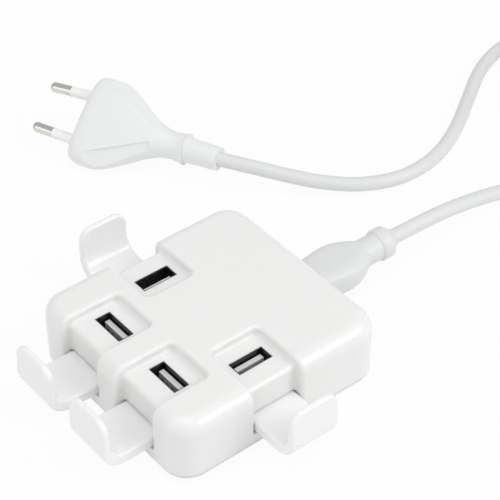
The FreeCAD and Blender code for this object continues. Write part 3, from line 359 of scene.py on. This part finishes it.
# %% [markdown]
# ## Base screws
# Four self-tapping screws hold the base tray from below. Each is a turned blank with a rounded pan head
# and a cross pressed into it. The blank is a profile spun round its axis, as a lathe makes it; the tree
# cuts the cross, then sets a screw on each corner of a grid, turned by chance, because nobody lines up
# the slots of screws.

# %% One screw blank
# Every length is in millimetres, here and in the next cells
HEAD_RADIUS = 2.2
HEAD_HEIGHT = 1.2
HEAD_ROUND = 0.5
HEAD_ROUND_STEPS = 6
SHANK_RADIUS = 1.2
SPIN_STEPS = 40
low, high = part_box("base_screws")
screw_length = high.z - low.z
profile = [(0, 0)]
for step in range(HEAD_ROUND_STEPS + 1):
    turn = math.radians(90 * step / HEAD_ROUND_STEPS)
    profile.append(((HEAD_RADIUS - HEAD_ROUND + HEAD_ROUND * math.sin(turn)) * MM,
                    HEAD_ROUND * (1 - math.cos(turn)) * MM))
profile += [(HEAD_RADIUS * MM, HEAD_HEIGHT * MM), (SHANK_RADIUS * MM, HEAD_HEIGHT * MM),
            (SHANK_RADIUS * MM, screw_length), (0, screw_length)]
blank = bmesh.new()
rim = [blank.verts.new((across, 0, up)) for across, up in profile]
edges = [blank.edges.new(pair) for pair in zip(rim, rim[1:])]
bmesh.ops.spin(blank, geom=rim + edges, cent=(0, 0, 0), axis=(0, 0, 1), angle=math.tau, steps=SPIN_STEPS)
bmesh.ops.remove_doubles(blank, verts=blank.verts, dist=WELD)
bmesh.ops.recalc_face_normals(blank, faces=blank.faces)
screw_mesh = bpy.data.meshes.new("screw_blank")
blank.to_mesh(screw_mesh)
blank.free()
print("screw blank", round(screw_length / MM, 2), "mm long,", len(screw_mesh.polygons), "faces")

# %% Four screws with their crosses
CROSS_LENGTH = 2.5
CROSS_WIDTH = 0.65
CROSS_DEPTH = 0.75
# The second stroke of the punch is a little shallower, so that the two cuts share no flat face
CROSS_EASE = 0.08
# Each bar's middle lies on the face that it cuts, so it is twice as high as the cut is deep
screw_sizes = {
    "Spacing X": high.x - low.x - 2 * HEAD_RADIUS * MM,
    "Spacing Y": high.y - low.y - 2 * HEAD_RADIUS * MM,
    "Height": low.z,
    "Cross length": CROSS_LENGTH * MM,
    "Cross width": CROSS_WIDTH * MM,
    "First depth": 2 * CROSS_DEPTH * MM,
    "Second depth": 2 * (CROSS_DEPTH - CROSS_EASE) * MM,
    "Seed": 7,
}
tree, given, leave = new_tree("screws on a grid", screw_sizes)
slotted = given["Geometry"]
for along, beside, depth in (("Cross length", "Cross width", "First depth"),
                             ("Cross width", "Cross length", "Second depth")):
    size = add(tree, "ShaderNodeCombineXYZ",
               links={"X": given[along], "Y": given[beside], "Z": given[depth]})
    bar = add(tree, "GeometryNodeMeshCube", links={"Size": size.outputs["Vector"]})
    cut = add(tree, "GeometryNodeMeshBoolean", links={"Mesh 1": slotted, "Mesh 2": bar.outputs["Mesh"]},
              operation="DIFFERENCE")
    slotted = cut.outputs["Mesh"]
grid = add(tree, "GeometryNodeMeshGrid", {"Vertices X": 2, "Vertices Y": 2},
           {"Size X": given["Spacing X"], "Size Y": given["Spacing Y"]})
turns = add(tree, "FunctionNodeRandomValue", links={"Seed": given["Seed"]}, data_type="FLOAT_VECTOR")
turns.inputs[0].default_value = (0, 0, 0)
turns.inputs[1].default_value = (0, 0, math.pi / 2)
placed = add(tree, "GeometryNodeInstanceOnPoints",
             links={"Points": grid.outputs["Mesh"], "Instance": slotted, "Rotation": turns.outputs[0]})
lift = add(tree, "ShaderNodeCombineXYZ", links={"Z": given["Height"]})
lifted = add(tree, "GeometryNodeTransform", links={"Geometry": placed.outputs["Instances"],
                                                    "Translation": lift.outputs["Vector"]})
settle(tree, lifted.outputs["Geometry"], "steel", leave)
screws = run_tree("cross_screws", screw_mesh, tree, screw_sizes)
stands_for(screws, "base_screws")

# %% [markdown]
# ## Grip pad
# A square of silicone rubber keeps the box from sliding. Its underside is cut by a row of shallow
# grooves, which break the suction on a wet table and let the ribs between them bend and grip. The pad's
# own CAD shape is copied and its loose triangles joined; the tree sets one bar on each point of a line
# and takes the whole row away from the pad in one cut.

# %% Grooved pad
GROOVES = 14
GROOVE_WIDTH = 1.1
GROOVE_DEPTH = 0.4
PAD_MARGIN = 4.0
low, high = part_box("grip_pad")
groove_run = high.y - low.y - 2 * PAD_MARGIN * MM
pad_sizes = {
    "Count": GROOVES,
    "First": -groove_run / 2,
    "Step": groove_run / (GROOVES - 1),
    "Length": high.x - low.x - 2 * PAD_MARGIN * MM,
    "Width": GROOVE_WIDTH * MM,
    "Depth": 2 * GROOVE_DEPTH * MM,
    "Underside": low.z,
}
pad_form = bmesh.new()
pad_form.from_mesh(nodes["grip_pad"].data)
bmesh.ops.remove_doubles(pad_form, verts=pad_form.verts, dist=WELD)
pad_mesh = bpy.data.meshes.new("pad_blank")
pad_form.to_mesh(pad_mesh)
pad_form.free()
tree, given, leave = new_tree("grooves in a row", pad_sizes)
first = add(tree, "ShaderNodeCombineXYZ", links={"Y": given["First"], "Z": given["Underside"]})
stride = add(tree, "ShaderNodeCombineXYZ", links={"Y": given["Step"]})
row = add(tree, "GeometryNodeMeshLine",
          links={"Count": given["Count"], "Start Location": first.outputs["Vector"],
                 "Offset": stride.outputs["Vector"]})
size = add(tree, "ShaderNodeCombineXYZ",
           links={"X": given["Length"], "Y": given["Width"], "Z": given["Depth"]})
bar = add(tree, "GeometryNodeMeshCube", links={"Size": size.outputs["Vector"]})
bars = add(tree, "GeometryNodeInstanceOnPoints", links={"Points": row.outputs["Mesh"],
                                                         "Instance": bar.outputs["Mesh"]})
cutters = add(tree, "GeometryNodeRealizeInstances", links={"Geometry": bars.outputs["Instances"]})
grooved = add(tree, "GeometryNodeMeshBoolean", links={"Mesh 1": given["Geometry"],
                                                       "Mesh 2": cutters.outputs["Geometry"]},
              operation="DIFFERENCE")
settle(tree, grooved.outputs["Mesh"], "grip_rubber", leave)
pad = run_tree("grooved_pad", pad_mesh, tree, pad_sizes)
stands_for(pad, "grip_pad")

# %% [markdown]
# ## Strap round the coil
# A strip of woven hook-and-loop tape holds the coil where three turns lie side by side and one on top.
# Pulled tight it takes the shape of a triangle rounded over the cords, and its free end lies on itself.
# A swept strip suits it: the tree takes the corners as a line, rounds them and carries the strip's flat
# section along. A boolean cut through a block would give the same loop, but with square corners.

# %% Corners of the strap
STRAP_WIDTH = 9.0
STRAP_THICKNESS = 0.9
STRAP_GAP = 0.35
STRAP_PULL = 0.3
# The free end lies this many thicknesses further out, just clear of the loop below it
STRAP_LAP = 1.02
STRAP_ROUND_STEPS = 12
strap_round = CORD_RADIUS + STRAP_GAP + STRAP_THICKNESS / 2


def strap_place(turn, height):
    """Where the strap crosses one turn of the coil, in millimetres."""
    return Vector((COIL_MIDDLE[0], COIL_MIDDLE[1] + turn - STRAP_PULL, height))


def strap_corner(before, at, after):
    """The corner of a path pulled tight round the cord at one place, before it is rounded."""
    back, on = (before - at).normalized(), (after - at).normalized()
    return at - (back + on).normalized() * (strap_round / math.sin(back.angle(on) / 2))


cords = [strap_place(inner, COIL_LOW), strap_place(outer, COIL_LOW), strap_place(middle, COIL_HIGH)]
corners = [strap_corner(cords[i - 1], cords[i], cords[(i + 1) % 3]) for i in range(3)]
slope = (cords[2] - cords[1]).normalized()
over_loop = Vector((0, slope.z, -slope.y)) * (strap_round + STRAP_LAP * STRAP_THICKNESS)
corners += [cords[1] + over_loop, cords[2] + over_loop]
strap_mesh = bpy.data.meshes.new("strap_line")
strap_mesh.from_pydata([corner * MM for corner in corners], [(0, 1), (1, 2), (2, 0), (3, 4)], [])
print("strap goes round", len(cords), "cords with", strap_round, "mm rounds")

# %% Sweep the strap
strap_sizes = {"Round": strap_round * MM, "Width": STRAP_WIDTH * MM, "Thickness": STRAP_THICKNESS * MM}
tree, given, leave = new_tree("strip along a line", strap_sizes)
line = add(tree, "GeometryNodeMeshToCurve", links={"Mesh": given["Geometry"]})
rounded = add(tree, "GeometryNodeFilletCurve", {"Count": STRAP_ROUND_STEPS},
              {"Curve": line.outputs["Curve"], "Radius": given["Round"]}, mode="POLY")
section = add(tree, "GeometryNodeCurvePrimitiveQuadrilateral",
              links={"Width": given["Width"], "Height": given["Thickness"]})
swept = add(tree, "GeometryNodeCurveToMesh", {"Fill Caps": True},
            {"Curve": rounded.outputs["Curve"], "Profile Curve": section.outputs["Curve"]})
settle(tree, swept.outputs["Mesh"], "tie", leave)
strap = run_tree("coil_strap", strap_mesh, tree, strap_sizes)
strap_form = bmesh.new()
strap_form.from_mesh(strap.data)
bmesh.ops.remove_doubles(strap_form, verts=strap_form.verts, dist=WELD)
bmesh.ops.recalc_face_normals(strap_form, faces=strap_form.faces)
strap_form.to_mesh(strap.data)
strap_form.free()
stands_for(strap, "coil_tie")

# %% [markdown]
# ## Floor and light
# The photograph is a product shot on white. The floor is white paper that shows nearly white to the
# camera and in reflections, while it still takes the object's shadow. A large soft lamp stands to the
# front right, a weaker one fills from the left, one overhead reaches down between the lips and the box,
# and the world lifts the shadows. More light would give a white floor too, but it would burn out the
# white box standing on it.

# %% Floor
# In metres: half the width, and how far it lies below the part so that the two faces don't flicker
FLOOR_HALF = 3.0
FLOOR_DROP = 0.0002
# The share of its own white that the paper shows to the camera; the rest is lit and takes the shadow
FLOOR_GLOW = 0.93
floor_mesh = bpy.data.meshes.new("floor")
floor_mesh.from_pydata([(x * FLOOR_HALF, y * FLOOR_HALF, -FLOOR_DROP)
                        for x, y in ((-1, -1), (1, -1), (1, 1), (-1, 1))], [], [(0, 1, 2, 3)])
floor = bpy.data.objects.new("floor", floor_mesh)
bpy.context.scene.collection.objects.link(floor)
paper = bpy.data.materials.new("white paper sweep")
paper.use_nodes = True
tree = paper.node_tree
tree.nodes.clear()
matt = add(tree, "ShaderNodeBsdfDiffuse", {"Color": linear("F4F4F4")})
glow = add(tree, "ShaderNodeEmission", {"Color": (1, 1, 1, 1), "Strength": 1.0})
ray = add(tree, "ShaderNodeLightPath")
mirrored = add(tree, "ShaderNodeMath",
               links={0: ray.outputs["Is Camera Ray"], 1: ray.outputs["Is Glossy Ray"]}, operation="ADD")
through = add(tree, "ShaderNodeMath",
              links={0: mirrored.outputs[0], 1: ray.outputs["Is Transmission Ray"]},
              operation="ADD", use_clamp=True)
seen = add(tree, "ShaderNodeMath", {1: FLOOR_GLOW}, {0: through.outputs[0]}, operation="MULTIPLY")
sweep = add(tree, "ShaderNodeMixShader",
            links={0: seen.outputs[0], 1: matt.outputs[0], 2: glow.outputs[0]})
add(tree, "ShaderNodeOutputMaterial", links={"Surface": sweep.outputs[0]})
floor.data.materials.append(paper)
print("floor", 2 * FLOOR_HALF, "m wide")

# %% Light
# Each lamp's name, place in metres, width in metres and power in watts
LAMPS = [
    ("key lamp", (0.55, -0.8, 0.7), 0.6, 4.0),
    ("fill lamp", (-0.95, 0.05, 0.5), 0.8, 1.6),
    ("top lamp", (-0.05, -0.1, 1.0), 0.7, 2.4),
]
LAMP_AIM = Vector((0.0, 0.0, 0.01))
WORLD_LEVEL = 0.58
for name, place, width, power in LAMPS:
    lamp_data = bpy.data.lights.new(name, "AREA")
    lamp_data.size = width
    lamp_data.energy = power
    lamp = bpy.data.objects.new(name, lamp_data)
    lamp.location = place
    lamp.rotation_euler = (LAMP_AIM - Vector(place)).to_track_quat("-Z", "Y").to_euler()
    bpy.context.scene.collection.objects.link(lamp)
    print(name, power, "W")
world = bpy.data.worlds.new("studio")
bpy.context.scene.world = world
world.use_nodes = True
world.node_tree.nodes["Background"].inputs["Color"].default_value = (1, 1, 1, 1)
world.node_tree.nodes["Background"].inputs["Strength"].default_value = WORLD_LEVEL
bpy.context.scene.view_settings.view_transform = "Standard"
